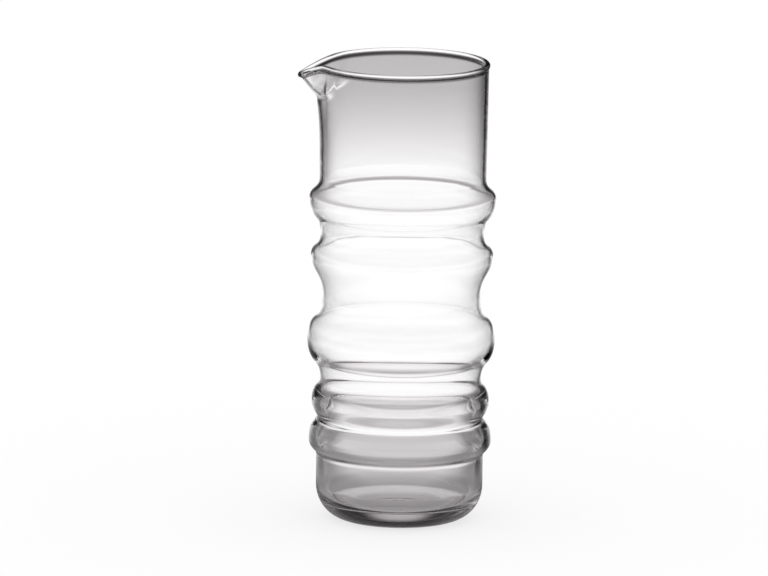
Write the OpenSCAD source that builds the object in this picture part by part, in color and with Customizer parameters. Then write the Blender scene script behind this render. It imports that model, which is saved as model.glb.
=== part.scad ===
// Water carafe of blown glass: one closed-bottomed tube with five rings blown round it,
// a fire-polished bead round the mouth, and a spout pulled out of that bead.
// The origin is the middle of the face that it stands on, +Z is up and the spout points to -X.
// Rings and waists are numbered from the foot up.

/* [Whole carafe] */
// Height from the table to the top of the rim
carafe_h = 240; // [225:0.5:260]

/* [Foot] */
// Outside diameter of the foot, below the lowest ring
foot_d = 86.7; // [80:0.1:92]
// Height of the foot, up to the crease under the lowest ring
foot_h = 32.6; // [26:0.1:40]
// Thickness of the wall round the foot
foot_wall = 3.9; // [3:0.1:6]
// Thickness of the floor in the middle
floor_t = 10; // [6:0.1:12]
// How far the rounding under the foot reaches in from the side
foot_round_w = 15.4; // [10:0.1:20]
// How far the rounding under the foot reaches up the side
foot_round_h = 17.3; // [12:0.1:22]
// How far the rounding inside, between floor and wall, reaches in
floor_round_w = 5; // [3:0.1:12]
// How far the rounding inside, between floor and wall, reaches up
floor_round_h = 8; // [4:0.1:12]
// Width of the flat ring that the carafe stands on
standing_w = 3; // [2:0.1:5]
// Height of the hollow under the foot, in its middle
hollow_h = 1.6; // [0.5:0.1:3]

/* [Ring 1, the lowest] */
// Outside diameter of ring 1
ring_1_d = 94.7; // [90:0.1:102]
// Height from the crease under ring 1 to its crown
ring_1_rise = 8.4; // [6:0.1:14]
// Height from the crown of ring 1 to the waist above it
ring_1_fall = 12.3; // [8:0.1:18]
// Thickness of the glass at the crown of ring 1
ring_1_wall = 3.5; // [3:0.1:6.5]

/* [Ring 2] */
// Outside diameter of ring 2
ring_2_d = 92.2; // [89:0.1:102]
// Height from the waist under ring 2 to its crown
ring_2_rise = 8; // [6:0.1:14]
// Height from the crown of ring 2 to the waist above it
ring_2_fall = 11.8; // [8:0.1:18]
// Thickness of the glass at the crown of ring 2
ring_2_wall = 3.4; // [1.8:0.1:6]

/* [Ring 3, the tallest] */
// Outside diameter of ring 3
ring_3_d = 97.4; // [90:0.1:104]
// Height from the waist under ring 3 to its crown
ring_3_rise = 21; // [14:0.1:28]
// Height from the crown of ring 3 to the waist above it
ring_3_fall = 21.8; // [14:0.1:30]
// Thickness of the glass at the crown of ring 3
ring_3_wall = 1.5; // [1.4:0.1:4]

/* [Ring 4] */
// Outside diameter of ring 4
ring_4_d = 94.7; // [90:0.1:104]
// Height from the waist under ring 4 to its crown
ring_4_rise = 22.3; // [14:0.1:30]
// Height from the crown of ring 4 to the waist above it
ring_4_fall = 11.4; // [7:0.1:18]
// Thickness of the glass at the crown of ring 4
ring_4_wall = 1.7; // [1.4:0.1:3.5]

/* [Ring 5, the highest] */
// Outside diameter of ring 5
ring_5_d = 96.7; // [90:0.1:104]
// Height from the waist under ring 5 to its crown
ring_5_rise = 19.5; // [14:0.1:30]
// Height from the crown of ring 5 to the foot of the upper wall
ring_5_fall = 9.5; // [7:0.1:16]
// Thickness of the glass at the crown of ring 5
ring_5_wall = 1.5; // [1.4:0.1:3.5]

/* [Waists] */
// Outside diameter of the waist between rings 1 and 2
waist_12_d = 86.2; // [78:0.1:89]
// Thickness of the glass at the waist between rings 1 and 2
waist_12_wall = 3.7; // [2.5:0.1:6]
// Outside diameter of the waist between rings 2 and 3
waist_23_d = 83.6; // [78:0.1:88]
// Thickness of the glass at the waist between rings 2 and 3
waist_23_wall = 1.7; // [1.5:0.1:5]
// Outside diameter of the waist between rings 3 and 4
waist_34_d = 81.8; // [76:0.1:88]
// Thickness of the glass at the waist between rings 3 and 4
waist_34_wall = 1.5; // [1.4:0.1:4]
// Outside diameter of the waist between rings 4 and 5
waist_45_d = 85; // [78:0.1:89]
// Thickness of the glass at the waist between rings 4 and 5
waist_45_wall = 1.7; // [1.4:0.1:4]

/* [Upper wall and rim] */
// Outside diameter of the upper wall where it rises from ring 5
collar_d = 86.5; // [80:0.1:89]
// Outside diameter of the upper wall just under the rim
mouth_d = 87.5; // [80:0.1:92]
// Thickness of the upper wall
upper_wall = 1.9; // [1.5:0.1:3]
// Thickness of the rounded bead along the rim
bead_d = 3.2; // [2.6:0.1:4]

/* [Spout] */
// How far the lip of the spout stands out beyond the rim
spout_reach = 10.4; // [6:0.1:16]
// How far the tip of the spout hangs below the rim
spout_drop = 7; // [3:0.1:9]
// Height from the rim down to where the keel of the spout leaves the wall
spout_h = 18; // [14:0.1:26]
// Width of the spout between the two kinks in the rim
spout_w = 31; // [22:0.1:38]
// Radius of the bend at the tip, along the middle of the glass
spout_tip_r = 2.4; // [2.2:0.1:3.5]
// Thickness of the glass along the sides of the spout
spout_wall = 2; // [1.4:0.1:2.4]
// Thickness of the bead at the tip of the spout, where the glass gathers
tip_bead_d = 3.8; // [3.2:0.1:4]

/* [Hidden] */
$fn = 180;

// Heights of the crowns and waists, each stacked on the one below; the upper wall takes the rest
ring_1_z = foot_h + ring_1_rise;
waist_12_z = ring_1_z + ring_1_fall;
ring_2_z = waist_12_z + ring_2_rise;
waist_23_z = ring_2_z + ring_2_fall;
ring_3_z = waist_23_z + ring_3_rise;
waist_34_z = ring_3_z + ring_3_fall;
ring_4_z = waist_34_z + ring_4_rise;
waist_45_z = ring_4_z + ring_4_fall;
ring_5_z = waist_45_z + ring_5_rise;
collar_z = ring_5_z + ring_5_fall;

// Crease, crowns, waists and collar from the foot up: outside radius, wall, height
stations = [
    [foot_d / 2, foot_wall, foot_h],
    [ring_1_d / 2, ring_1_wall, ring_1_z],
    [waist_12_d / 2, waist_12_wall, waist_12_z],
    [ring_2_d / 2, ring_2_wall, ring_2_z],
    [waist_23_d / 2, waist_23_wall, waist_23_z],
    [ring_3_d / 2, ring_3_wall, ring_3_z],
    [waist_34_d / 2, waist_34_wall, waist_34_z],
    [ring_4_d / 2, ring_4_wall, ring_4_z],
    [waist_45_d / 2, waist_45_wall, waist_45_z],
    [ring_5_d / 2, ring_5_wall, ring_5_z],
    [collar_d / 2, upper_wall, collar_z]
];

// For the flank over each station, the shares of its height that the curve keeps upright at its
// lower and at its upper end, where 0.9 makes a square shoulder, and the share of its ends' mean
// wall by which its middle is thicker
flank_shares = [
    [0.49, 0.53, 0.16], [0.81, 0.21, 0.05], [0.19, 0.46, 0.09], [0.79, 0.40, -0.08], [0.55, 0.60, 0.37],
    [0.74, 0.68, 0.10], [0.56, 0.36, -0.03], [0.51, 0.74, -0.12], [0.64, 0.64, -0.08], [0.36, 0.62, -0.05]
];
flank_steps = 8;
round_steps = 8;

function lerp(a, b, t) = a + (b - a) * t;

function reversed(list) = [for (i = [len(list) - 1:-1:0]) list[i]];

// Point at t of a flank whose outer face leaves a and reaches b upright
function flank_point(a, b, shares, t) =
    let (rise = b[1] - a[1])
    let (u = 1 - t)
    u * u * u * a
        + 3 * u * u * t * [a[0], a[1] + shares[0] * rise]
        + 3 * u * t * t * [b[0], b[1] - shares[1] * rise]
        + t * t * t * b;

// Thickness of the glass at t of flank i
function flank_wall(i, t) =
    let (low = stations[i][1])
    let (high = stations[i + 1][1])
    let (hump = pow(4 * t * (1 - t), 2))
    lerp(low, high, t * t * (3 - 2 * t)) + flank_shares[i][2] * hump * (low + high) / 2;

// Way that the outer face runs there
function flank_way(a, b, shares, t) =
    let (rise = b[1] - a[1])
    let (u = 1 - t)
    [
        2 * u * t * (b[0] - a[0]),
        rise * (u * u * shares[0] + 2 * u * t * (1 - shares[0] - shares[1]) + t * t * shares[1])
    ];

// Glass up to thin_wall thick was blown as one even sheet, so its inner face lies square to
// the outer one; from thick_wall on the inner face lies level with it and is the smoother one
thin_wall = 2.5;
thick_wall = 3.6;
function sheet_share(wall) = min(max((thick_wall - wall) / (thick_wall - thin_wall), 0), 1);

// From a point of the outer face straight through the glass
function through_glass(wall, way) =
    let (lean = sheet_share(wall) * atan2(-way[0], way[1]))
    wall * [cos(lean), sin(lean)];

// Rings and waists as one line; side 0 is the outer face and side 1 the inner one
function station_point(i, side) = [stations[i][0] - side * stations[i][1], stations[i][2]];

function ring_line(side) = [
    for (i = [0:len(flank_shares) - 1], k = [0:flank_steps - 1])
        let (t = k / flank_steps)
        let (a = station_point(i, 0))
        let (b = station_point(i + 1, 0))
        flank_point(a, b, flank_shares[i], t)
            - side * through_glass(flank_wall(i, t), flank_way(a, b, flank_shares[i], t))
];

// Quarter of an ellipse that turns from level, at its low end, to upright
function corner_line(r, w, h, z) = [
    for (k = [0:round_steps])
        let (a = 90 * k / round_steps)
        [r - w + w * sin(a), z + h - h * cos(a)]
];

// Under the foot: a shallow hollow, the standing ring and the rounding up to the side
standing_r = foot_d / 2 - foot_round_w;
hollow_r = standing_r - standing_w;
hollow_line = [
    for (k = [0:round_steps])
        let (a = 90 * k / round_steps)
        [hollow_r * sin(a), hollow_h * (1 + cos(2 * a)) / 2]
];
foot_line = concat(hollow_line, corner_line(foot_d / 2, foot_round_w, foot_round_h, 0));

// Inside: the floor from its middle and the rounding up to the wall
floor_line = concat(
    [[0, floor_t]],
    corner_line(foot_d / 2 - foot_wall, floor_round_w, floor_round_h, floor_t)
);

// Rim: the middle of the wall carries the bead
bead_r = bead_d / 2;
bead_z = carafe_h - bead_r;
rim_r = (mouth_d - upper_wall) / 2;

// The solid inside the outer face, and the air inside it, which runs out above the rim
overrun = bead_d;
glass_outline = concat(
    foot_line,
    ring_line(0),
    [station_point(len(stations) - 1, 0), [mouth_d / 2, bead_z], [0, bead_z]]
);
air_outline = concat(
    floor_line,
    ring_line(1),
    [
        station_point(len(stations) - 1, 1),
        [rim_r - upper_wall / 2, bead_z],
        [rim_r - upper_wall / 2, carafe_h + overrun],
        [0, carafe_h + overrun]
    ]
);

// Spout, seen from above: u runs out from the axis and v to its side. Each half is a
// straight line from a kink in the rim that runs into a round tip
kink_angle = asin(spout_w / 2 / rim_r);
kink_u = rim_r * cos(kink_angle);
tip_u = rim_r + spout_reach;
bend_u = tip_u - spout_tip_r;
kink_distance = norm([bend_u - kink_u, spout_w / 2]);
side_angle = 180 - atan2(spout_w / 2, bend_u - kink_u) - acos(spout_tip_r / kink_distance);
keel_foot_z = carafe_h - spout_h;

// The lip lies in a plane that slants down from the kinks to the tip
function lip_z(u) = bead_z - spout_drop * (u - kink_u) / (tip_u - kink_u);

// How far the sides of the lip run on into the wall, past the kinks
lip_run_in = 1.5 * upper_wall;

// Lip moved sideways by a distance, outward if positive
function lip_outline(aside) =
    let (side = [sin(side_angle), -cos(side_angle)])
    let (last = [kink_u, spout_w / 2] + aside * [cos(side_angle), sin(side_angle)]
        - lip_run_in * side)
    concat(
        [[last[0], -last[1]]],
        [
            for (k = [-round_steps:round_steps])
                let (a = side_angle * k / round_steps)
                [bend_u, 0] + (spout_tip_r + aside) * [cos(a), sin(a)]
        ],
        [last]
    );

// The air in the spout is carried on past the lip by this share of its size
air_past_share = 0.3;

// A pyramid from a point on the keel's foot to the lip, carried on past it by a share
module lip_pyramid(aside, past_share = 0) {
    foot = [-(rim_r + aside), 0, keel_foot_z];
    outline = lip_outline(aside);
    count = len(outline);
    rim = [for (p = outline) foot + (1 + past_share) * ([-p[0], p[1], lip_z(p[0])] - foot)];
    polyhedron(
        points = concat([foot], rim),
        faces = concat(
            [for (i = [1:count]) [0, i % count + 1, i]],
            [[for (i = [1:count]) i]]
        )
    );
}

// Middle line of the lip's bead on one side, 1 or -1, up to the tip: a stretch along the rim,
// a straight side and half of the round tip
bead_run_angle = 9;
run_steps = 2;
side_steps = 4;
side_end = [bend_u, 0] + spout_tip_r * [cos(side_angle), sin(side_angle)];
bead_run = [
    for (k = [0:run_steps])
        let (a = kink_angle + bead_run_angle * (1 - k / run_steps))
        rim_r * [cos(a), sin(a)]
];
bead_side = [
    for (k = [1:side_steps - 1])
        lerp([kink_u, spout_w / 2], side_end, k / side_steps)
];
bead_bend = [
    for (k = [0:round_steps - 1])
        let (a = side_angle * (1 - k / round_steps))
        [bend_u, 0] + spout_tip_r * [cos(a), sin(a)]
];
function lip_half(side) = [
    for (p = concat(bead_run, bead_side, bead_bend))
        [-p[0], side * p[1], min(lip_z(p[0]), bead_z)]
];
lip_path = concat(lip_half(1), [[-tip_u, 0, lip_z(tip_u)]], reversed(lip_half(-1)));

// The lip's bead starts slimmer, hidden in the rim's bead, and swells towards the tip
buried_share = 0.8;
kink_share = 1.08;
bead_sides = 12;
run_v = bead_run[0][1];

function lip_bead_r(p) =
    let (before_kink = (abs(p[1]) - spout_w / 2) / (run_v - spout_w / 2))
    let (past_kink = (-p[0] - kink_u) / (tip_u - kink_u))
    before_kink > 0
        ? bead_r * lerp(kink_share, buried_share, before_kink)
        : lerp(bead_r * kink_share, tip_bead_d / 2, past_kink);

function unit(v) = v / norm(v);

// Ring of points round a place on a path, square to the way that the path runs there
function bead_ring(path, i) =
    let (before = path[max(i - 1, 0)])
    let (after = path[min(i + 1, len(path) - 1)])
    let (along = unit(after - before))
    let (aside = unit([-along[1], along[0], 0]))
    let (upward = cross(along, aside))
    [
        for (k = [0:bead_sides - 1])
            let (a = 360 * k / bead_sides)
            path[i] + lip_bead_r(path[i]) * (cos(a) * aside + sin(a) * upward)
    ];

module lip_bead() {
    rings = len(lip_path);
    last = (rings - 1) * bead_sides;
    points = [for (i = [0:rings - 1]) each bead_ring(lip_path, i)];
    faces = concat(
        [
            for (i = [0:rings - 2], k = [0:bead_sides - 1])
                let (n = (k + 1) % bead_sides)
                each [
                    [i * bead_sides + k, (i + 1) * bead_sides + n, i * bead_sides + n],
                    [i * bead_sides + k, (i + 1) * bead_sides + k, (i + 1) * bead_sides + n]
                ]
        ],
        [[for (k = [0:bead_sides - 1]) k]],
        [[for (k = [bead_sides - 1:-1:0]) last + k]]
    );
    polyhedron(points = points, faces = faces);
}

// Everything but the beads: the outer form with the air inside it taken out
module blown_wall() {
    difference() {
        union() {
            rotate_extrude()
            polygon(glass_outline);
            lip_pyramid(spout_wall / 2);
        }
        rotate_extrude()
        polygon(air_outline);
        lip_pyramid(-spout_wall / 2, air_past_share);
    }
}

// Round bead along the mouth, from one kink of the spout round to the other
module rim_bead() {
    rotate([0, 0, kink_angle - 180])
    rotate_extrude(angle = 360 - 2 * kink_angle)
    translate([rim_r, bead_z])
    circle(r = bead_r);
}

module glass_carafe() {
    color("#e9ebea", 0.45)
    union() {
        blown_wall();
        rim_bead();
        lip_bead();
    }
}

glass_carafe();
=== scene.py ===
"""Water carafe of clear blown glass, on a plain pale floor in soft studio light.

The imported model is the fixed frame. One piece of glass is modelled here in finer form and stands
for the CAD node: its wall is spun from an outline, and the spout is pulled out of the rim.
All sizes are in metres and the carafe stands on the floor at z = 0, with its spout to -X.
"""
import math

import bpy
from bpy.props import FloatProperty, FloatVectorProperty, PointerProperty
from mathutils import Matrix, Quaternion, Vector


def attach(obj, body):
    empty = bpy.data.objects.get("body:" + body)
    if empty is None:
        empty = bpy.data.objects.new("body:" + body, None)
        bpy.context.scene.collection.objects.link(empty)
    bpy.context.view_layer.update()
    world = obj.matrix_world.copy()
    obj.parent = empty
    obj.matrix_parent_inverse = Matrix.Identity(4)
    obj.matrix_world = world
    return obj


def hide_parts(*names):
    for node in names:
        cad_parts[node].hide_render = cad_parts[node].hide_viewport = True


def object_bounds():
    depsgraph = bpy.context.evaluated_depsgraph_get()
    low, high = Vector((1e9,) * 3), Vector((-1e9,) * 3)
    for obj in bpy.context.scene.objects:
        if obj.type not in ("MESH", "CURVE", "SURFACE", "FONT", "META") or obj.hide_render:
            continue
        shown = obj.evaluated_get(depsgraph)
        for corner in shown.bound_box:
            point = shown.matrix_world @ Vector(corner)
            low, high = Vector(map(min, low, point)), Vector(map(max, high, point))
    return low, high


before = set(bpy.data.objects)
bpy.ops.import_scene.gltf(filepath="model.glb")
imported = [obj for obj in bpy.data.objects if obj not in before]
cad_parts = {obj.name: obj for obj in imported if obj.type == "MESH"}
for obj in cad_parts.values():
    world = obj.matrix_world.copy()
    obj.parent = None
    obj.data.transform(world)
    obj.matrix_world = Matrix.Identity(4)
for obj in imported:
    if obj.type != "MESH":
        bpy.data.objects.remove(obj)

bl_info = {
    "name": "Blown glass carafe",
    "version": (1, 0, 0),
    "blender": (4, 5, 0),
    "location": "3D View > Sidebar > Carafe",
    "description": "Blows a ringed glass carafe with a pulled spout, and lights it for the studio",
    "category": "Object",
}

MM = 0.001
CAD_LOW, CAD_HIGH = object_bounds()
GLASS = "carafe_glass"


def linear(hex_colour):
    """Turns an sRGB hex value such as "#c8c8c8" into a linear colour with alpha."""
    channels = [int(hex_colour[i:i + 2], 16) / 255 for i in (1, 3, 5)]
    return [c / 12.92 if c <= 0.04045 else ((c + 0.055) / 1.055) ** 2.4 for c in channels] + [1.0]


# Sizes and colours that a user would change

def length(name, description, mm):
    """A size property in metres, with its default given in millimetres."""
    return FloatProperty(name=name, description=description, default=mm * MM,
                         min=0.0, unit="LENGTH", precision=5)


def lengths(name, description, *mm):
    """A row of sizes in metres, from the foot up, with the defaults in millimetres."""
    return FloatVectorProperty(name=name, description=description, size=len(mm),
                               default=[v * MM for v in mm], min=0.0, unit="LENGTH", precision=5)


def angle_of(name, description, degrees):
    """An angle property, with its default given in degrees."""
    return FloatProperty(name=name, description=description, default=math.radians(degrees),
                         unit="ROTATION")


def colour(name, description, hex_colour):
    """A colour property, with its default given as an sRGB hex value."""
    return FloatVectorProperty(name=name, description=description, size=4, min=0.0, max=1.0,
                               default=linear(hex_colour), subtype="COLOR")


class CarafeFoot(bpy.types.PropertyGroup):
    foot_d: length("Foot diameter", "Outside diameter below ring 1", 86.7)
    foot_h: length("Foot height", "Height up to the crease under ring 1", 32.6)
    wall: length("Foot wall", "Thickness of the wall round the foot", 3.9)
    floor_t: length("Floor", "Thickness of the floor in its middle", 10)
    round_w: length("Rounding in", "How far the rounding under the foot reaches in", 15.4)
    round_h: length("Rounding up", "How far the rounding under the foot reaches up", 17.3)
    floor_round_w: length("Inner rounding in", "How far the rounding inside reaches in", 5)
    floor_round_h: length("Inner rounding up", "How far the rounding inside reaches up", 8)
    standing_w: length("Standing ring", "Width of the flat ring that it stands on", 3)
    hollow_h: length("Hollow", "Height of the hollow under the foot", 1.6)
    pontil_d: length("Pontil mark", "Diameter of the nub in the middle of the hollow", 6)
    pontil_h: length("Pontil height", "Height of the nub in the middle of the hollow", 0.9)


class CarafeRings(bpy.types.PropertyGroup):
    ring_d: lengths("Ring diameters", "Outside diameters of the crowns",
                    94.7, 92.2, 97.4, 94.7, 96.7)
    ring_z: lengths("Ring heights", "Heights of the crowns above the floor",
                    41, 61.3, 94.1, 138.2, 169.1)
    ring_wall: lengths("Ring walls", "Thickness of the glass at the crowns",
                       3.5, 3.4, 1.5, 1.7, 1.5)
    waist_d: lengths("Waist diameters", "Outside diameters of the waists",
                     86.2, 83.6, 81.8, 85)
    waist_z: lengths("Waist heights", "Heights of the waists above the floor",
                     53.3, 73.1, 115.9, 149.6)
    waist_wall: lengths("Waist walls", "Thickness of the glass at the waists",
                        3.7, 1.7, 1.5, 1.7)
    collar_d: length("Collar diameter", "Outside diameter where the wall leaves ring 5", 86.5)
    collar_z: length("Collar height", "Height where the wall leaves ring 5", 178.6)


class CarafeRim(bpy.types.PropertyGroup):
    mouth_d: length("Mouth diameter", "Outside diameter just under the rim", 87.5)
    wall: length("Upper wall", "Thickness of the upper wall", 1.9)
    bead_d: length("Rim bead", "Thickness of the fire-polished bead", 3.1)
    bead_run: length("Bead run", "Height over which the wall swells into the bead", 2)
    spout_reach: length("Spout reach", "How far the lip stands out beyond the rim", 10.4)
    spout_drop: length("Spout drop", "How far the tip hangs below the rim", 7)
    spout_h: length("Spout height", "From the rim down to the foot of the keel", 21)
    foot_soft: FloatProperty(name="Keel foot", description="Share of the spout's height over "
                             "which the keel bends out of the wall", default=0.12, min=0.01,
                             max=1.0, subtype="FACTOR")
    lead: length("Lead", "How far the wall leans out at the foot of the keel", 1.5)
    lead_h: length("Lead height", "How far below the keel the wall starts to lean out", 22)
    spout_angle: angle_of("Spout half angle", "Widest angle from the tip to a kink", 21)
    keel_angle: angle_of("Keel rounding", "Angle that rounds the keel off at the rim", 2.2)
    kink_soft: length("Kink rounding", "How softly the rim turns into the spout", 1.4)
    tip_bead_d: length("Tip bead", "Thickness of the bead where the glass gathers", 4)


class CarafeGlass(bpy.types.PropertyGroup):
    tint: colour("Tint", "What is left of white light that has crossed much glass", "#e2e0e1")
    tint_density: FloatProperty(name="Tint density", description="How soon the tint shows, per "
                                "metre of glass", default=12.0, min=0.0)
    ior: FloatProperty(name="IOR", description="Index of refraction", default=1.51, min=1.0)
    striae_spacing: length("Striae spacing", "Height from one stria to the next", 6)
    striae_length: length("Striae length", "How far a stria runs round the wall", 60)
    striae_depth: length("Striae depth", "How far the striae stand out", 0.03)


class CarafeStage(bpy.types.PropertyGroup):
    azimuth: angle_of("Azimuth", "Side that the camera stands on", 7)
    elevation: angle_of("Elevation", "Height of the camera as an angle", 11.29)
    roll: angle_of("Roll", "Tilt of the picture", 0.7227)
    distance: length("Distance", "From the camera to the middle of the carafe", 4500)
    aim: lengths("Aim", "Point of the axis that the picture is set out from", 0, 0, 120)
    scale: FloatProperty(name="Scale", description="Pixels for a millimetre at the axis",
                         default=1.929)
    place: FloatVectorProperty(name="Place", description="Pixel where the aimed point lies",
                               size=2, default=(401.6, 289.8))
    picture: FloatVectorProperty(name="Picture", description="Width and height in pixels",
                                 size=2, default=(768, 576))
    tent_r: length("Tent", "Radius of the light tent round the carafe", 600)
    tent_h: length("Tent height", "Height of the light tent", 1200)
    strength: FloatProperty(name="Panel strength", description="Strength of the tent's panels",
                            default=1.15, min=0.0)
    ceiling: colour("Ceiling", "What the glass sees over the tent", "#101010")


# Outline of the glass

# For the flank over each station: the shares of its height that the curve keeps upright at its
# lower and at its upper end, and how much thicker its middle is, as a share of its ends' wall
FLANK_SHARES = (
    (0.49, 0.53, 0.16), (0.81, 0.21, 0.05), (0.19, 0.46, 0.09), (0.79, 0.40, -0.08),
    (0.55, 0.60, 0.37), (0.74, 0.68, 0.10), (0.56, 0.36, -0.03), (0.51, 0.74, -0.12),
    (0.64, 0.64, -0.08), (0.36, 0.62, -0.05),
)
# Between these walls the inner face changes from square to the outer one to level with it
THIN_WALL = 2.5 * MM
THICK_WALL = 3.6 * MM
# The steps in the hollow crowd towards the nub, which falls to a third of its height at its edge
HOLLOW_CROWDING = 1.5
NUB_STEEPNESS = 2.2
# Steps along each stretch of the outline
FLANK_STEPS = 10
ROUND_STEPS = 12
HOLLOW_STEPS = 24
FLOOR_STEPS = 6
WALL_STEPS = 12
SPOUT_STEPS = 20
BEAD_STEPS = 12


def smooth(t):
    """Runs from 0 to 1 with level ends."""
    return t * t * (3 - 2 * t)


def clamp(t):
    """Keeps a share between 0 and 1."""
    return min(max(t, 0.0), 1.0)


def stations():
    """Crease, crowns, waists and collar from the foot up: outside radius, wall, height."""
    scene = bpy.context.scene
    foot, rings, rim = scene.carafe_foot, scene.carafe_rings, scene.carafe_rim
    rows = [(foot.foot_d / 2, foot.wall, foot.foot_h)]
    for i, d in enumerate(rings.ring_d):
        rows.append((d / 2, rings.ring_wall[i], rings.ring_z[i]))
        if i < len(rings.waist_d):
            rows.append((rings.waist_d[i] / 2, rings.waist_wall[i], rings.waist_z[i]))
    rows.append((rings.collar_d / 2, rim.wall, rings.collar_z))
    return rows


def ring_line(side):
    """Rings and waists as one line; side 0 is the outer face and side 1 the inner one.

    Where the glass is thin the inner face follows the outer one square to it, as a blown
    sheet does; where it is thick the inner face is smoother than the outer one.
    """
    rows = stations()
    line = []
    for low, high, (start_share, end_share, swell_share) in zip(rows, rows[1:], FLANK_SHARES):
        r0, r1 = low[0], high[0]
        z0, z1 = low[2], high[2]
        z_low, z_high = z0 + start_share * (z1 - z0), z1 - end_share * (z1 - z0)
        for k in range(FLANK_STEPS):
            t = k / FLANK_STEPS
            u = 1 - t
            swell = swell_share * (low[1] + high[1]) / 2 * (4 * t * u) ** 2
            wall = low[1] + (high[1] - low[1]) * smooth(t) + swell
            r = u * u * (u + 3 * t) * r0 + t * t * (t + 3 * u) * r1
            z = u ** 3 * z0 + 3 * u * u * t * z_low + 3 * u * t * t * z_high + t ** 3 * z1
            if side:
                dr = 6 * u * t * (r1 - r0)
                dz = 3 * (u * u * (z_low - z0) + 2 * u * t * (z_high - z_low)
                          + t * t * (z1 - z_high))
                thin = clamp((THICK_WALL - wall) / (THICK_WALL - THIN_WALL))
                lean = thin * math.atan2(-dr, dz)
                r, z = r - wall * math.cos(lean), z - wall * math.sin(lean)
            line.append((r, z))
    return line


def corner_line(r, w, h, z):
    """Quarter of an ellipse that turns from level, at its low end, to upright."""
    angles = [math.pi / 2 * k / ROUND_STEPS for k in range(ROUND_STEPS + 1)]
    return [(r - w + w * math.sin(a), z + h - h * math.cos(a)) for a in angles]


def hollow_line():
    """Under the foot, from the axis to the standing ring: a shallow hollow with a pontil nub."""
    foot = bpy.context.scene.carafe_foot
    hollow_r = foot.foot_d / 2 - foot.round_w - foot.standing_w
    line = []
    for k in range(HOLLOW_STEPS + 1):
        r = hollow_r * (k / HOLLOW_STEPS) ** HOLLOW_CROWDING
        z = foot.hollow_h * (1 + math.cos(math.pi * r / hollow_r)) / 2
        nub = math.exp(-(NUB_STEEPNESS * r / foot.pontil_d) ** 2)
        line.append((r, z - foot.pontil_h * nub))
    return line


def rim_heights():
    """Heights of the bead's middle and of the foot of the keel."""
    rim = bpy.context.scene.carafe_rim
    return CAD_HIGH.z - rim.bead_d / 2, CAD_HIGH.z - rim.spout_h


def middle_r(z):
    """Radius of the middle of the upper wall at a height."""
    scene = bpy.context.scene
    rings, rim = scene.carafe_rings, scene.carafe_rim
    share = (z - rings.collar_z) / (rim_heights()[0] - rings.collar_z)
    outer = rings.collar_d / 2 + (rim.mouth_d - rings.collar_d) / 2 * share
    return outer - rim.wall / 2


def wall_line(side):
    """Upper wall from the collar to the middle of the bead, swelling into it."""
    scene = bpy.context.scene
    rings, rim = scene.carafe_rings, scene.carafe_rim
    sign = 1 if side == 0 else -1
    bead_z, keel_z = rim_heights()
    heights = [rings.collar_z + (keel_z - rings.collar_z) * k / WALL_STEPS
               for k in range(WALL_STEPS)]
    heights += [keel_z + (bead_z - keel_z) * k / SPOUT_STEPS for k in range(SPOUT_STEPS)]
    line = []
    for z in heights:
        swell = clamp(1 - (bead_z - z) / rim.bead_run)
        half = (rim.wall + (rim.bead_d - rim.wall) * smooth(swell)) / 2
        line.append((middle_r(z) + sign * half, z))
    return line


def bead_line():
    """Half circle over the rim, from the outer face to the inner one."""
    r = bpy.context.scene.carafe_rim.bead_d / 2
    z = rim_heights()[0]
    angles = [math.pi * k / BEAD_STEPS for k in range(BEAD_STEPS + 1)]
    return [(middle_r(z) + r * math.cos(a), z + r * math.sin(a)) for a in angles]


def glass_line():
    """The whole outline, from the axis under the foot round the rim to the axis inside."""
    foot = bpy.context.scene.carafe_foot
    outside = hollow_line() + corner_line(foot.foot_d / 2, foot.round_w, foot.round_h, 0)
    outside += ring_line(0) + wall_line(0)
    floor_end = foot.foot_d / 2 - foot.wall - foot.floor_round_w
    inside = [(floor_end * k / FLOOR_STEPS, foot.floor_t) for k in range(FLOOR_STEPS)]
    inside += corner_line(foot.foot_d / 2 - foot.wall, foot.floor_round_w, foot.floor_round_h,
                          foot.floor_t)
    inside += ring_line(1) + wall_line(1)
    return outside + bead_line() + inside[::-1]


# Spout

# How far from -X the pull is felt at the rim, and how far the lean below it is
SPOUT_REGION = math.radians(42)
LEAD_REGION = math.radians(27)
# The pull dies out over the last part of its region, one part in this many
FADE_PARTS = 3.5
# The flanks aim this far past the tip, because the keel's rounding takes it off again
TIP_OVERRUN = 0.3 * MM
# A kink lies at this share of the angle at which a flank would only just touch the rim's round
KINK_SHARE = 0.74
# At the foot the keel and the kinks are this many times as round as at the rim
FOOT_ROUNDING = 3
# Both start from nothing there, and are full where the pull has reached one part in this many
KEEL_START = 4
KINK_START = 3
# Distance between the places that the wall's slope is read from
SLOPE_STEP = 0.05 * MM


def soft_max(a, b, softness):
    """The larger of two numbers, rounded off where they are closer than the softness."""
    near = max(softness - abs(a - b), 0.0)
    return max(a, b) + (near ** 2 / (4 * softness) if near else 0.0)


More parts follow.
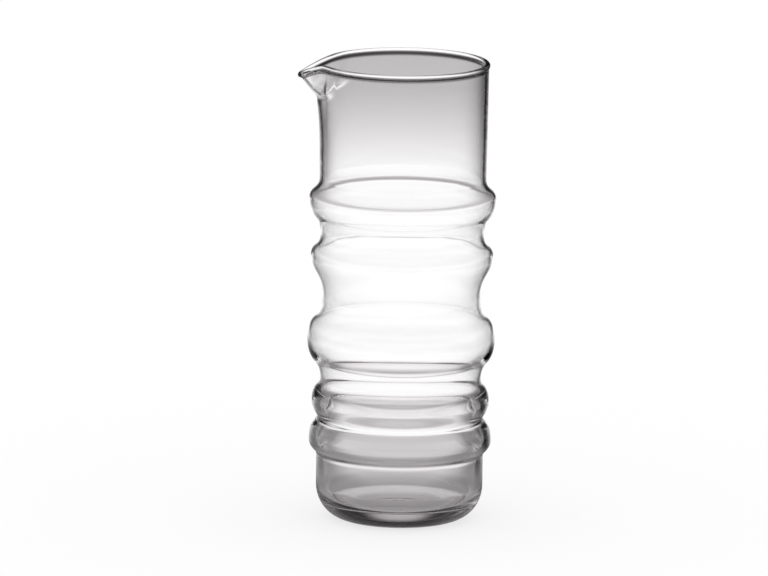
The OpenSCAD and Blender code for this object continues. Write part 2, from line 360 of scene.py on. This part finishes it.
def flank_out(angle, share, r):
    """How far the spout pulls the wall out from r, at an angle from -X.

    The share is how far up from the foot of the keel to the rim the place lies.
    """
    rim = bpy.context.scene.carafe_rim
    soft = rim.foot_soft / 2
    pull = share ** 2 / (4 * soft) if share < 2 * soft else share - soft
    pull /= 1 - soft
    reach = r + (rim.spout_reach + TIP_OVERRUN) * pull
    half = min(rim.spout_angle, KINK_SHARE * math.acos(r / reach))
    rounding = FOOT_ROUNDING - (FOOT_ROUNDING - 1) * share
    keel = rim.keel_angle * rounding * min(1.0, KEEL_START * pull)
    slant = math.atan2(r * math.sin(half), reach - r * math.cos(half))
    across = slant + math.hypot(angle, keel)
    flank_r = reach * math.sin(slant + keel) / math.sin(across)
    if across > math.pi / 2:
        flank_r = 2 * reach * math.sin(slant + keel) - flank_r
    out = soft_max(0, flank_r - r, rim.kink_soft * rounding * min(1.0, KINK_START * pull))
    return out * smooth(clamp(FADE_PARTS * (1 - abs(angle) / SPOUT_REGION)))


def pulled(angle, z):
    """Where the middle of the wall lies once the spout is pulled, and how far out it came."""
    rim = bpy.context.scene.carafe_rim
    bead_z, keel_z = rim_heights()
    share = clamp((z - keel_z) / (bead_z - keel_z))
    r = middle_r(z)
    out = flank_out(angle, share, r) if share > 0 else 0.0
    drop = rim.spout_drop * out / rim.spout_reach
    below = clamp(1 + (z - keel_z) / rim.lead_h)
    aside = max(1 - (angle / LEAD_REGION) ** 2, 0.0)
    out += rim.lead * below ** 2 * aside ** 2 * (1 - share)
    return Vector((-(r + out) * math.cos(angle), (r + out) * math.sin(angle), z - drop)), out


def pull_spout(vertices):
    """Moves the vertices of the upper wall and the bead to where the pulled wall takes them."""
    rim = bpy.context.scene.carafe_rim
    bead_z, keel_z = rim_heights()
    for v in vertices:
        x, y, z = v.co
        angle = math.atan2(y, -x)
        if z < keel_z - rim.lead_h or abs(angle) > SPOUT_REGION:
            continue
        base = min(z, bead_z)
        place, out = pulled(angle, base)
        if out <= 0:
            continue
        r = math.hypot(x, y)
        turn = SLOPE_STEP / r
        along = pulled(angle + turn, base)[0] - pulled(angle - turn, base)[0]
        up = (place - pulled(angle, base - SLOPE_STEP)[0]).normalized()
        outward = up.cross(along).normalized()
        if outward.x > 0:
            outward.negate()
        gathered = min(out / rim.spout_reach, 1.0) * clamp(1 - (bead_z - base) / rim.bead_run)
        swell = 1 + (rim.tip_bead_d / rim.bead_d - 1) * gathered
        v.co = place + swell * ((r - middle_r(base)) * outward + (z - base) * up)


# Light: the glass sees a tent of soft panels, with dark felt between them. In these tables an
# angle is in degrees from +X, anticlockwise as seen from above

# How far each angle is out of a panel's middle. The bright panel lies at 97, a dimmer one at
# 175, and the rest is dimmer still
AROUND = (
    (0, 1.8), (22, 1.9), (53, 1.9), (61, 1.4), (69, 1.0), (77, 0.8), (83, 0.42), (88, 0.22),
    (93, 0.0), (101, 0.0), (106, 0.2), (111, 0.46), (117, 0.72), (125, 0.86), (133, 1.3),
    (141, 1.75), (155, 1.3), (168, 0.7), (180, 0.65), (200, 0.75), (230, 0.9), (277, 0.95),
    (320, 1.0), (340, 1.3), (360, 1.8),
)
# How far each height in millimetres is out of a panel's middle, which lies on the floor
UPWARDS = (
    (0, 0.0), (35, 0.38), (62, 0.55), (80, 0.67), (100, 0.82), (110, 0.89), (122, 0.96),
    (150, 1.0), (205, 1.24), (250, 1.46), (300, 1.65), (450, 2.2), (1200, 3.0),
)
# The most that a table holds, so that a ramp can hold it as a share
MOST = 3.0
# How much narrower the panels are at the tent's top, and how far out their light ends
NARROWING = 5.0
PANEL_END = 4.0
# Greys of a panel, from its middle to where its light ends
PANEL_GREYS = (
    (0.0, "#ffffff"), (0.15, "#fdfdfd"), (0.20, "#dedbdc"), (0.26, "#aeabac"), (0.32, "#7a7778"),
    (0.38, "#4a4748"), (0.46, "#202020"), (0.60, "#0a0a0a"), (1.0, "#060606"),
)
# The upper lights: how strong they are round the tent, and greys by height as a share of its own
UPPER_AROUND = (
    (0, 0.45), (22, 0.45), (37, 0.12), (53, 0.02), (69, 0.02), (85, 0.0), (110, 0.0),
    (125, 0.04), (135, 0.12), (147, 0.3), (172, 0.42), (207, 0.38), (277, 0.25), (340, 0.4),
    (360, 0.45),
)
UPPER_GREYS = (
    (0.0, "#000000"), (0.08, "#322f30"), (0.12, "#928f90"), (0.17, "#f4f4f4"), (0.25, "#f4f4f4"),
    (0.34, "#a29fa0"), (0.44, "#202020"), (1.0, "#000000"),
)
# Painted shadow on the floor that only the glass sees: greys by distance from the carafe as a
# share of the tent's radius, darker near the carafe
FLOOR_PAINTED_SHADOW_GREYS = (
    (0.0, "#949192"), (0.083, "#9d9a9b"), (0.133, "#aaa7a8"), (0.175, "#bab7b8"),
    (0.21, "#c8c5c6"), (0.27, "#ccc9ca"), (0.33, "#e5e2e3"), (0.40, "#f2eff0"), (0.5, "#fdfdfd"),
    (1.0, "#ffffff"),
)
# Painted light and shade round the floor, which only the glass sees: how much of that grey is left
# at each angle, lightest towards the bright panel, and how strongly the painted shade counts at
# millimetres away
FLOOR_PAINTED_LIGHT_AND_SHADE_AROUND = (
    (0, 0.27), (22, 0.25), (35, 0.1), (47, 0.0), (60, 0.0), (68, 0.1), (74, 0.3), (79, 0.7),
    (84, 1.0), (110, 1.0), (115, 0.7), (120, 0.4), (126, 0.22), (140, 0.14), (155, 0.16),
    (172, 0.18), (200, 0.25), (235, 0.45), (277, 0.55), (320, 0.4), (360, 0.27),
)
FLOOR_PAINTED_SHADE_COUNTS = (
    (0, 0.0), (30, 0.1), (50, 0.2), (100, 0.68), (135, 0.74), (180, 0.95), (230, 1.0),
    (320, 1.0), (420, 0.95), (600, 0.75),
)
# How much of the floor that the camera sees is plain white; the rest takes the soft shadow
FLOOR_WHITE = 0.75


# Materials

def add_node(tree, kind, inputs=None, stops=(), **settings):
    """Adds one node. An input takes a value, a socket, or a node for its first output.

    The stops of a ramp are pairs of a place and a linear colour.
    """
    node = tree.nodes.new(kind)
    for name, value in settings.items():
        setattr(node, name, value)
    for name, value in (inputs or {}).items():
        if isinstance(value, bpy.types.Node):
            value = value.outputs[0]
        if isinstance(value, bpy.types.NodeSocket):
            tree.links.new(value, node.inputs[name])
        else:
            node.inputs[name].default_value = value
    for i, (place, stop_colour) in enumerate(stops):
        elements = node.color_ramp.elements
        if i == 0:
            elements.remove(elements[1])
        element = elements.new(place) if i else elements[0]
        element.position, element.color = place, stop_colour
    return node


def grey_stops(greys):
    """Places and hex greys, as the stops of a ramp."""
    return [(place, linear(grey)) for place, grey in greys]


def table_stops(table):
    """Places and numbers, as the stops of a ramp that runs over the table's whole length."""
    return [(place / table[-1][0], [number / MOST] * 3 + [1.0]) for place, number in table]


def empty_material(name):
    """A node material with no nodes yet, and its tree."""
    material = bpy.data.materials.new(name)
    material.use_nodes = True
    material.node_tree.nodes.clear()
    return material, material.node_tree


def glass_material():
    """Soda-lime glass, blown and fire-polished: clear, with a faint grey in thick places.

    The faint striae that turning on the pipe leaves run round it and bend what shows through
    the wall by less than half a degree.
    """
    glass = bpy.context.scene.carafe_glass
    material, tree = empty_material("soda-lime blown glass")
    place = add_node(tree, "ShaderNodeTexCoord").outputs["Object"]
    stretched = add_node(tree, "ShaderNodeMapping", {
        "Vector": place,
        "Scale": (1 / glass.striae_length, 1 / glass.striae_length, 1 / glass.striae_spacing),
    })
    striae = add_node(tree, "ShaderNodeTexNoise", {
        "Vector": stretched, "Scale": 1.0, "Detail": 1.0})
    bump = add_node(tree, "ShaderNodeBump", {
        "Height": striae.outputs["Fac"], "Strength": 1.0, "Distance": glass.striae_depth})
    shader = add_node(tree, "ShaderNodeBsdfPrincipled", {
        "Base Color": linear("#ffffff"),
        "Roughness": 0.0,
        "IOR": glass.ior,
        "Transmission Weight": 1.0,
        "Normal": bump,
    })
    volume = add_node(tree, "ShaderNodeVolumeAbsorption", {
        "Color": glass.tint,
        "Density": glass.tint_density,
    })
    add_node(tree, "ShaderNodeOutputMaterial", {"Surface": shader, "Volume": volume})
    return material


def glass_rays(tree):
    """A factor of 1 for what the glass reflects or lets through, and 0 for the rest."""
    path = add_node(tree, "ShaderNodeLightPath")
    return add_node(tree, "ShaderNodeMath", {
        0: path.outputs["Is Glossy Ray"], 1: path.outputs["Is Transmission Ray"],
    }, operation="MAXIMUM")


def round_the_axis(tree, table):
    """Reads a table by the angle of each place from +X."""
    axes = add_node(tree, "ShaderNodeSeparateXYZ", {
        0: add_node(tree, "ShaderNodeTexCoord").outputs["Object"]})
    angle = add_node(tree, "ShaderNodeMath", {0: axes.outputs["Y"], 1: axes.outputs["X"]},
                     operation="ARCTAN2")
    turns = add_node(tree, "ShaderNodeMath", {0: angle, 1: 2 * math.pi}, operation="DIVIDE")
    ahead = add_node(tree, "ShaderNodeMath", {0: turns, 1: 1.0}, operation="ADD")
    share = add_node(tree, "ShaderNodeMath", {0: ahead}, operation="FRACT")
    ramp = add_node(tree, "ShaderNodeValToRGB", {"Fac": share}, table_stops(table))
    ramp.color_ramp.interpolation = "B_SPLINE"
    return add_node(tree, "ShaderNodeMath", {0: ramp, 1: MOST}, operation="MULTIPLY")


def tent_material():
    """Light tent of white cloth and felt, which gives clear glass dark edges and grey tones.

    Panels of soft light narrow upwards, and the felt between them is dark.
    """
    stage = bpy.context.scene.carafe_stage
    material, tree = empty_material("light tent")
    axes = add_node(tree, "ShaderNodeSeparateXYZ", {
        0: add_node(tree, "ShaderNodeTexCoord").outputs["Object"]})
    rise = add_node(tree, "ShaderNodeMath", {0: axes.outputs["Z"], 1: stage.tent_h},
                    operation="DIVIDE")
    narrower = add_node(tree, "ShaderNodeMath", {0: rise, 1: NARROWING}, operation="MULTIPLY")
    narrow = add_node(tree, "ShaderNodeMath", {0: narrower, 1: 1.0}, operation="ADD")
    side = add_node(tree, "ShaderNodeMath", {0: round_the_axis(tree, AROUND), 1: narrow},
                    operation="MULTIPLY")
    ramp = add_node(tree, "ShaderNodeValToRGB", {"Fac": rise}, table_stops(UPWARDS))
    up = add_node(tree, "ShaderNodeMath", {0: ramp, 1: MOST}, operation="MULTIPLY")
    side_square, up_square = (add_node(tree, "ShaderNodeMath", {0: way, 1: 2.0},
                                       operation="POWER") for way in (side, up))
    square = add_node(tree, "ShaderNodeMath", {0: side_square, 1: up_square}, operation="ADD")
    off = add_node(tree, "ShaderNodeMath", {0: square}, operation="SQRT")
    share = add_node(tree, "ShaderNodeMath", {0: off, 1: PANEL_END}, operation="DIVIDE")
    panel = add_node(tree, "ShaderNodeValToRGB", {"Fac": share}, grey_stops(PANEL_GREYS))
    upper_grey = add_node(tree, "ShaderNodeValToRGB", {"Fac": rise}, grey_stops(UPPER_GREYS))
    upper = add_node(tree, "ShaderNodeVectorMath", {
        0: upper_grey, 1: round_the_axis(tree, UPPER_AROUND)}, operation="MULTIPLY")
    lit = add_node(tree, "ShaderNodeVectorMath", {0: panel, 1: upper}, operation="MAXIMUM")
    glow = add_node(tree, "ShaderNodeEmission", {"Color": lit, "Strength": stage.strength})
    add_node(tree, "ShaderNodeOutputMaterial", {"Surface": glow})
    return material


def floor_material():
    """Matt sweep paper: plain white to the eye, with a soft shadow.

    To the glass it is a glow with painted light and shade: a painted shadow near the carafe,
    painted light towards the bright panel and painted shade at the other angles.
    """
    stage = bpy.context.scene.carafe_stage
    material, tree = empty_material("matt white sweep paper")
    paper = add_node(tree, "ShaderNodeBsdfDiffuse", {"Color": linear("#ffffff")})
    white = add_node(tree, "ShaderNodeEmission", {"Color": linear("#ffffff"), "Strength": 1.0})
    seen = add_node(tree, "ShaderNodeMixShader", {0: FLOOR_WHITE, 1: paper, 2: white})
    away = add_node(tree, "ShaderNodeVectorMath", {
        0: add_node(tree, "ShaderNodeTexCoord").outputs["Object"]}, operation="LENGTH")
    far = add_node(tree, "ShaderNodeMath", {0: away.outputs["Value"], 1: stage.tent_r},
                   operation="DIVIDE")
    # Painted light and shade for the glass: how strongly the painted shade counts by distance, and
    # how much painted light is left at each angle
    ramp = add_node(tree, "ShaderNodeValToRGB", {"Fac": far}, table_stops(FLOOR_PAINTED_SHADE_COUNTS))
    painted_shade_strength = add_node(tree, "ShaderNodeMath", {0: ramp, 1: MOST}, operation="MULTIPLY")
    painted_shade_around = add_node(tree, "ShaderNodeMath", {0: 1.0, 1: round_the_axis(tree, FLOOR_PAINTED_LIGHT_AND_SHADE_AROUND)},
                    operation="SUBTRACT")
    painted_shade = add_node(tree, "ShaderNodeMath", {0: painted_shade_strength, 1: painted_shade_around}, operation="MULTIPLY")
    painted_light_left = add_node(tree, "ShaderNodeMath", {0: 1.0, 1: painted_shade}, operation="SUBTRACT")
    # Painted shadow: greys that grow darker towards the carafe, shown only to the glass
    grey = add_node(tree, "ShaderNodeValToRGB", {"Fac": far}, grey_stops(FLOOR_PAINTED_SHADOW_GREYS))
    # lit holds the painted light and shade that only the glass sees; the panels don't light the
    # floor
    lit = add_node(tree, "ShaderNodeVectorMath", {0: grey, 1: painted_light_left}, operation="MULTIPLY")
    glow = add_node(tree, "ShaderNodeEmission", {"Color": lit, "Strength": stage.strength})
    other = add_node(tree, "ShaderNodeMixShader", {0: glass_rays(tree), 1: paper, 2: glow})
    camera = add_node(tree, "ShaderNodeLightPath").outputs["Is Camera Ray"]
    both = add_node(tree, "ShaderNodeMixShader", {0: camera, 1: other, 2: seen})
    add_node(tree, "ShaderNodeOutputMaterial", {"Surface": both})
    return material


def studio_world():
    """White all round for the camera and the floor; the glass sees a dark ceiling."""
    world = bpy.data.worlds.new("studio")
    world.use_nodes = True
    tree = world.node_tree
    tree.nodes.clear()
    white = add_node(tree, "ShaderNodeBackground", {"Color": linear("#ffffff"), "Strength": 1.0})
    ceiling = add_node(tree, "ShaderNodeBackground", {
        "Color": bpy.context.scene.carafe_stage.ceiling, "Strength": 1.0})
    mixed = add_node(tree, "ShaderNodeMixShader", {0: glass_rays(tree), 1: white, 2: ceiling})
    add_node(tree, "ShaderNodeOutputWorld", {"Surface": mixed})
    return world


# Pieces and stage

# The wall is spun in finer steps where the spout is pulled
SPOUT_ARC = math.radians(60)
SPOUT_ARC_STEPS = 90
REST_ARC_STEPS = 150
# Points closer than this are one
WELD = 0.002 * MM

FLOOR_R = 30
FLOOR_SIDES = 64
TENT_SIDES = 96
SENSOR_MM = 36
CAMERA_END = 100
# Light crosses the rings' walls many times before it comes out
GLASS_BOUNCES = 32
GLOSSY_BOUNCES = 24


def deselect():
    """Leaves nothing selected, out of edit mode."""
    if bpy.context.object and bpy.context.object.mode != "OBJECT":
        bpy.ops.object.mode_set(mode="OBJECT")
    bpy.ops.object.select_all(action="DESELECT")


class CARAFE_OT_blow_glass(bpy.types.Operator):
    """Spin the outline of the glass, pull the spout out of the rim and finish the piece"""

    bl_idname = "carafe.blow_glass"
    bl_label = "Blow the glass"

    def execute(self, context):
        deselect()
        line = glass_line()
        start = math.pi + SPOUT_ARC / 2
        way = Vector((math.cos(start), math.sin(start), 0))
        bpy.ops.mesh.primitive_plane_add(size=1 * MM, location=(0, 0, line[0][1]))
        glass = context.object
        glass.name = GLASS
        bpy.ops.object.transform_apply(location=True, rotation=False, scale=False)
        bpy.ops.object.mode_set(mode="EDIT")
        bpy.ops.mesh.select_all(action="SELECT")
        bpy.ops.mesh.merge(type="CENTER")
        for (r0, z0), (r1, z1) in zip(line, line[1:]):
            move = (r1 - r0) * way + Vector((0, 0, z1 - z0))
            bpy.ops.mesh.extrude_vertices_move(TRANSFORM_OT_translate={"value": move})
        bpy.ops.mesh.select_all(action="SELECT")
        for arc, steps in ((2 * math.pi - SPOUT_ARC, REST_ARC_STEPS),
                           (SPOUT_ARC, SPOUT_ARC_STEPS)):
            bpy.ops.mesh.spin(steps=steps, angle=arc, center=(0, 0, 0), axis=(0, 0, 1))
        bpy.ops.mesh.select_all(action="SELECT")
        bpy.ops.mesh.remove_doubles(threshold=WELD)
        bpy.ops.mesh.normals_make_consistent(inside=False)
        bpy.ops.object.mode_set(mode="OBJECT")
        pull_spout(glass.data.vertices)
        bpy.ops.object.shade_smooth()
        glass.data.materials.append(glass_material())
        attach(glass, "root")
        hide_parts("glass_carafe")
        return {"FINISHED"}


def put_camera(stage):
    """Puts the camera where the aimed point comes to lie at its pixel; gives the camera."""
    back = Vector((
        math.sin(stage.azimuth) * math.cos(stage.elevation),
        -math.cos(stage.azimuth) * math.cos(stage.elevation),
        math.sin(stage.elevation),
    ))
    turn = (-back).to_track_quat("-Z", "Y")
    right, up = turn @ Vector((1, 0, 0)), turn @ Vector((0, 1, 0))
    off = Vector((stage.place[0] - stage.picture[0] / 2, stage.picture[1] / 2 - stage.place[1]))
    rolled = Vector((off.x * math.cos(stage.roll) - off.y * math.sin(stage.roll),
                     off.x * math.sin(stage.roll) + off.y * math.cos(stage.roll)))
    pixels = stage.scale / MM
    centre = Vector(stage.aim) - (rolled.x * right + rolled.y * up) / pixels
    bpy.ops.object.camera_add(location=centre + back * stage.distance)
    camera = bpy.context.object
    camera.rotation_mode = "QUATERNION"
    camera.rotation_quaternion = turn @ Quaternion((0, 0, 1), stage.roll)
    camera.data.sensor_width = SENSOR_MM
    camera.data.lens = pixels * stage.distance / stage.picture[0] * SENSOR_MM
    camera.data.clip_end = CAMERA_END
    return camera


class CARAFE_OT_set_stage(bpy.types.Operator):
    """Lay the floor, light it and set the camera up"""

    bl_idname = "carafe.set_stage"
    bl_label = "Set the stage"

    def execute(self, context):
        deselect()
        scene = context.scene
        stage = scene.carafe_stage
        bpy.ops.mesh.primitive_circle_add(vertices=FLOOR_SIDES, radius=FLOOR_R, fill_type="NGON")
        floor = context.object
        floor.name = "floor"
        floor.data.materials.append(floor_material())
        bpy.ops.mesh.primitive_cylinder_add(
            vertices=TENT_SIDES, radius=stage.tent_r, depth=stage.tent_h,
            end_fill_type="NOTHING", location=(0, 0, stage.tent_h / 2))
        bpy.ops.object.transform_apply(location=True, rotation=False, scale=False)
        tent = context.object
        tent.name = "tent"
        tent.data.materials.append(tent_material())
        tent.visible_camera = False
        tent.visible_diffuse = False
        tent.visible_shadow = False
        scene.world = studio_world()
        scene.camera = put_camera(stage)
        scene.view_settings.view_transform = "Standard"
        scene.cycles.max_bounces = GLASS_BOUNCES
        scene.cycles.transmission_bounces = GLASS_BOUNCES
        scene.cycles.glossy_bounces = GLOSSY_BOUNCES
        return {"FINISHED"}


class CARAFE_PT_panel(bpy.types.Panel):
    """Lists the carafe's operators and sizes"""

    bl_idname = "CARAFE_PT_panel"
    bl_label = "Glass carafe"
    bl_space_type = "VIEW_3D"
    bl_region_type = "UI"
    bl_category = "Carafe"

    def draw(self, context):
        for name in OPERATORS:
            self.layout.operator(name)
        for group in GROUPS:
            props = getattr(context.scene, group)
            box = self.layout.box()
            for key in props.bl_rna.properties.keys():
                if key not in ("rna_type", "name"):
                    box.prop(props, key)


OPERATORS = ("carafe.blow_glass", "carafe.set_stage")
GROUPS = {
    "carafe_foot": CarafeFoot,
    "carafe_rings": CarafeRings,
    "carafe_rim": CarafeRim,
    "carafe_glass": CarafeGlass,
    "carafe_stage": CarafeStage,
}
CLASSES = (*GROUPS.values(), CARAFE_OT_blow_glass, CARAFE_OT_set_stage, CARAFE_PT_panel)


def register():
    for cls in CLASSES:
        bpy.utils.register_class(cls)
    for name, group in GROUPS.items():
        setattr(bpy.types.Scene, name, PointerProperty(type=group))


def unregister():
    for name in GROUPS:
        delattr(bpy.types.Scene, name)
    for cls in reversed(CLASSES):
        bpy.utils.unregister_class(cls)


def main():
    register()
    for name in OPERATORS:
        group, operator = name.split(".")
        getattr(getattr(bpy.ops, group), operator)()


if __name__ == "__main__":
    main()
